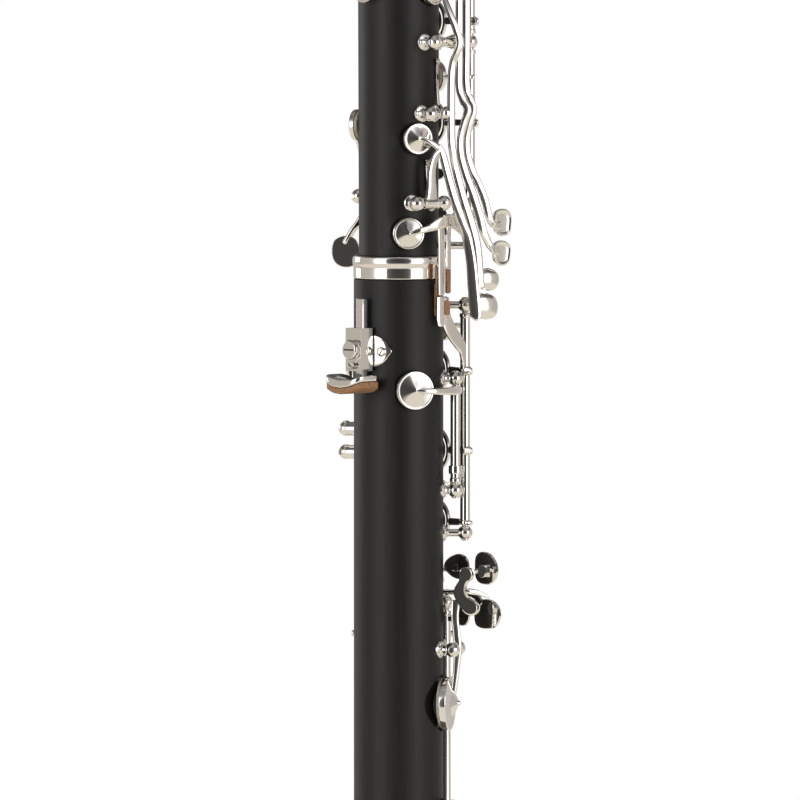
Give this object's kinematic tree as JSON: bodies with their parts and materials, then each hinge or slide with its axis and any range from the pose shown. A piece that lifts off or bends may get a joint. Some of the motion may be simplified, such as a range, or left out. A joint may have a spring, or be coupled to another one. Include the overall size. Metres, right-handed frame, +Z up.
{
  "type": "soprano clarinet",
  "caption": "Black wooden clarinet with silver-plated ring keys, side levers, padded cups and a sliding thumb rest.",
  "frame": {"origin": "centre of the bell's rim plane, on the bore axis", "axes": "+Z up the bore to the mouthpiece; -Y the front with the finger holes; +Y the back with the thumb rest; -X the player's right"},
  "size_m": [0.0795, 0.0796, 0.669],
  "materials": {
    "blackwood": "matte oiled, fine grain",
    "hard_rubber": "polished",
    "cane": "raw cane",
    "cork": "matte speckled cork",
    "blued_steel": "bright steel",
    "pad_leather": "soft matte",
    "silver_plate": "polished silver plating"
  },
  "bodies": {
    "clarinet": {"mouthpiece": "hard_rubber", "reed": "cane", "ligature": "silver_plate", "ligature_screws": "silver_plate", "barrel": "blackwood", "upper_joint": "blackwood", "lower_joint": "blackwood", "bell": "blackwood", "joint_rings": "silver_plate", "tenon_corks": "cork", "upper_posts": "silver_plate", "lower_posts": "silver_plate", "hinge_steels": "blued_steel", "leaf_springs": "blued_steel", "thumb_rest_base": "silver_plate"},
    "thumb_rest_hook": {"thumb_rest_hook": "silver_plate", "thumb_rest_cork": "cork"},
    "thumb_rest_screw": {"thumb_rest_screw": "silver_plate"},
    "register_key": {"register_key": "silver_plate", "register_pad": "pad_leather"},
    "thumb_ring_key": {"thumb_ring_key": "silver_plate", "thumb_ring_pad": "pad_leather"},
    "throat_a_key": {"throat_a_key": "silver_plate", "throat_a_pad": "pad_leather"},
    "throat_gsharp_key": {"throat_gsharp_key": "silver_plate", "throat_gsharp_pad": "pad_leather"},
    "first_ring_key": {"first_ring_key": "silver_plate", "first_ring_pad": "pad_leather"},
    "side_key_1": {"side_key_1": "silver_plate", "side_pad_1": "pad_leather"},
    "side_key_2": {"side_key_2": "silver_plate", "side_pad_2": "pad_leather"},
    "side_key_3": {"side_key_3": "silver_plate", "side_pad_3": "pad_leather"},
    "side_key_4": {"side_key_4": "silver_plate", "side_pad_4": "pad_leather"},
    "upper_sliver_key": {"upper_sliver_key": "silver_plate", "upper_sliver_pad": "pad_leather"},
    "csharp_key": {"csharp_key": "silver_plate", "csharp_pad": "pad_leather"},
    "second_ring_key": {"second_ring_key": "silver_plate", "second_ring_pad": "pad_leather"},
    "resonance_key": {"resonance_key": "silver_plate", "resonance_pad": "pad_leather"},
    "lower_ring_key": {"lower_ring_key": "silver_plate", "lower_ring_pad": "pad_leather"},
    "lower_sliver_key": {"lower_sliver_key": "silver_plate", "lower_sliver_pad": "pad_leather"},
    "aflat_key": {"aflat_key": "silver_plate", "aflat_pad": "pad_leather"},
    "f_c_key": {"f_c_key": "silver_plate", "f_c_pad": "pad_leather"},
    "fsharp_key": {"fsharp_key": "silver_plate", "fsharp_pad": "pad_leather"},
    "e_b_key": {"e_b_key": "silver_plate", "e_b_pad": "pad_leather"},
    "lh_e_lever": {"lh_e_lever": "silver_plate"},
    "lh_fsharp_lever": {"lh_fsharp_lever": "silver_plate"}
  },
  "joints": [
    {"name": "register_key_hinge", "type": "hinge", "parent": "clarinet", "child": "register_key", "pos_m": [-0.0018, 0.01708, 0.468], "axis": [-0.9945, -0.1045, 0], "range_deg": [0, 4]},
    {"name": "thumb_ring_key_hinge", "type": "hinge", "parent": "clarinet", "child": "thumb_ring_key", "pos_m": [0.01484, 0.00927, 0.43], "axis": [0, 0, 1], "range_deg": [0, 5.5]},
    {"name": "throat_a_key_hinge", "type": "hinge", "parent": "clarinet", "child": "throat_a_key", "pos_m": [-0.0012, -0.01713, 0.47], "axis": [0.9976, -0.0698, 0], "range_deg": [0, 6]},
    {"name": "throat_gsharp_key_hinge", "type": "hinge", "parent": "clarinet", "child": "throat_gsharp_key", "pos_m": [0.00954, -0.01526, 0.463], "axis": [0, 0, -1], "range_deg": [0, 7]},
    {"name": "first_ring_key_hinge", "type": "hinge", "parent": "clarinet", "child": "first_ring_key", "pos_m": [-0.01577, -0.01577, 0.42], "axis": [0, 0, 1], "range_deg": [0, 5.5]},
    {"name": "side_key_1_hinge", "type": "hinge", "parent": "clarinet", "child": "side_key_1", "pos_m": [-0.01672, 0.00265, 0.3546], "axis": [-0.1564, -0.9877, 0], "range_deg": [0, 5]},
    {"name": "side_key_2_hinge", "type": "hinge", "parent": "clarinet", "child": "side_key_2", "pos_m": [-0.01724, -0.0006, 0.3824], "axis": [0.0349, -0.9994, 0], "range_deg": [0, 2.5]},
    {"name": "side_key_3_hinge", "type": "hinge", "parent": "clarinet", "child": "side_key_3", "pos_m": [-0.01631, -0.00376, 0.4046], "axis": [0.225, -0.9744, 0], "range_deg": [0, 2.5]},
    {"name": "side_key_4_hinge", "type": "hinge", "parent": "clarinet", "child": "side_key_4", "pos_m": [-0.01562, -0.00695, 0.432], "axis": [0.4067, -0.9135, 0], "range_deg": [0, 2]},
    {"name": "upper_sliver_key_hinge", "type": "hinge", "parent": "clarinet", "child": "upper_sliver_key", "pos_m": [0.00927, -0.01484, 0.365], "axis": [0, 0, -1], "range_deg": [0, 7]},
    {"name": "csharp_key_hinge", "type": "hinge", "parent": "clarinet", "child": "csharp_key", "pos_m": [0.01666, -0.00415, 0.356], "axis": [0.2419, 0.9703, 0], "range_deg": [0, 4.5]},
    {"name": "second_ring_key_hinge", "type": "hinge", "parent": "clarinet", "child": "second_ring_key", "pos_m": [-0.01577, -0.01577, 0.375], "axis": [0, 0, 1], "range_deg": [0, 5.5]},
    {"name": "resonance_key_hinge", "type": "hinge", "parent": "clarinet", "child": "resonance_key", "pos_m": [-0.01577, -0.01577, 0.346], "axis": [0, 0, 1], "range_deg": [0, 5.5]},
    {"name": "lower_ring_key_hinge", "type": "hinge", "parent": "clarinet", "child": "lower_ring_key", "pos_m": [-0.01419, -0.01521, 0.29], "axis": [0, 0, 1], "range_deg": [0, 5]},
    {"name": "lower_sliver_key_hinge", "type": "hinge", "parent": "clarinet", "child": "lower_sliver_key", "pos_m": [-0.01474, -0.01032, 0.282], "axis": [0, 0, 1], "range_deg": [0, 7]},
    {"name": "aflat_key_hinge", "type": "hinge", "parent": "clarinet", "child": "aflat_key", "pos_m": [-0.0152, -0.00987, 0.215], "axis": [-0.5446, 0.8387, 0], "range_deg": [0, 6]},
    {"name": "f_c_key_hinge", "type": "hinge", "parent": "clarinet", "child": "f_c_key", "pos_m": [0.00128, -0.01826, 0.18], "axis": [0, 0, -1], "range_deg": [0, 7]},
    {"name": "fsharp_key_hinge", "type": "hinge", "parent": "clarinet", "child": "fsharp_key", "pos_m": [-0.00286, -0.01807, 0.19], "axis": [0, 0, -1], "range_deg": [0, 7]},
    {"name": "e_b_key_hinge", "type": "hinge", "parent": "clarinet", "child": "e_b_key", "pos_m": [0.00535, -0.0175, 0.18], "axis": [0, 0, -1], "range_deg": [0, 7]},
    {"name": "lh_e_lever_hinge", "type": "hinge", "parent": "clarinet", "child": "lh_e_lever", "pos_m": [0.01695, -0.00193, 0.276], "axis": [-0.1132, -0.9936, 0], "range_deg": [0, 2.1]},
    {"name": "lh_fsharp_lever_hinge", "type": "hinge", "parent": "clarinet", "child": "lh_fsharp_lever", "pos_m": [0.01695, -0.00193, 0.276], "axis": [-0.1132, -0.9936, 0], "range_deg": [0, 2.1]},
    {"name": "thumb_rest_slide", "type": "slide", "parent": "clarinet", "child": "thumb_rest_hook", "axis": [0, 0, 1], "range_m": [-0.004, 0.0025]},
    {"name": "thumb_rest_screw_turn", "type": "hinge", "parent": "clarinet", "child": "thumb_rest_screw", "pos_m": [0, 0.0205, 0.3091], "axis": [0, 1, 0], "range_deg": [-90, 90]}
  ],
  "couplings": [
    {"joint": "second_ring_key_hinge", "follows": "lower_ring_key_hinge", "ratio": 1.1},
    {"joint": "resonance_key_hinge", "follows": "lower_ring_key_hinge", "ratio": 1.1},
    {"joint": "lh_e_lever_hinge", "follows": "e_b_key_hinge", "ratio": 0.3},
    {"joint": "lh_fsharp_lever_hinge", "follows": "fsharp_key_hinge", "ratio": 0.3}
  ]
}
